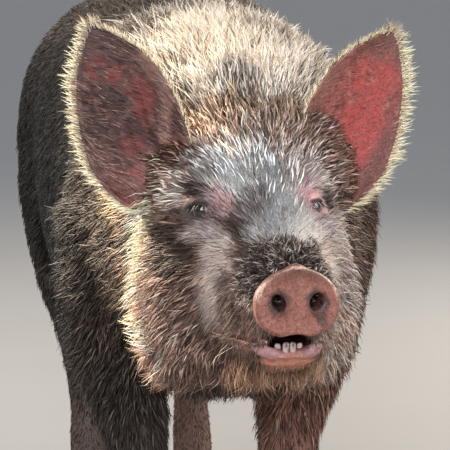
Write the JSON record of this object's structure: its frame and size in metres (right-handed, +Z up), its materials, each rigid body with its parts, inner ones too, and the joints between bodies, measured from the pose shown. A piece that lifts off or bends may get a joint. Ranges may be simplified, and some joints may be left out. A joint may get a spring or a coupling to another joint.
{
  "type": "domestic pig",
  "caption": "Still, life-size model of a standing young domestic pig with pricked ears, a bristly mottled coat and a slightly open mouth.",
  "frame": {"origin": "on the floor under the middle of the model's box", "axes": "+Z up, the snout points to -Y and the pig's left side is +X"},
  "size_m": [0.4099, 1.4344, 0.7717],
  "materials": {
    "coat": "short and long bristles over skin, matt",
    "ear_skin": "thin bare skin, soft sheen",
    "snout_skin": "bare moist skin, fine pores",
    "eye": "wet, glossy",
    "horn": "worn hoof horn"
  },
  "bodies": {
    "root": {"dewclaw_fore_left_inner": "horn", "dewclaw_fore_left_outer": "horn", "dewclaw_fore_right_inner": "horn", "dewclaw_fore_right_outer": "horn", "dewclaw_hind_left_inner": "horn", "dewclaw_hind_left_outer": "horn", "dewclaw_hind_right_inner": "horn", "dewclaw_hind_right_outer": "horn", "ear_left": "ear_skin", "ear_right": "ear_skin", "eye_left": "eye", "eye_right": "eye", "foreleg_left": "coat", "foreleg_right": "coat", "head": "coat", "hindleg_left": "coat", "hindleg_right": "coat", "hoof_fore_left_inner": "horn", "hoof_fore_left_outer": "horn", "hoof_fore_right_inner": "horn", "hoof_fore_right_outer": "horn", "hoof_hind_left_inner": "horn", "hoof_hind_left_outer": "horn", "hoof_hind_right_inner": "horn", "hoof_hind_right_outer": "horn", "lower_jaw": "coat", "neck": "coat", "snout_disc": "snout_skin", "tail": "coat", "torso": "coat"}
  },
  "joints": []
}
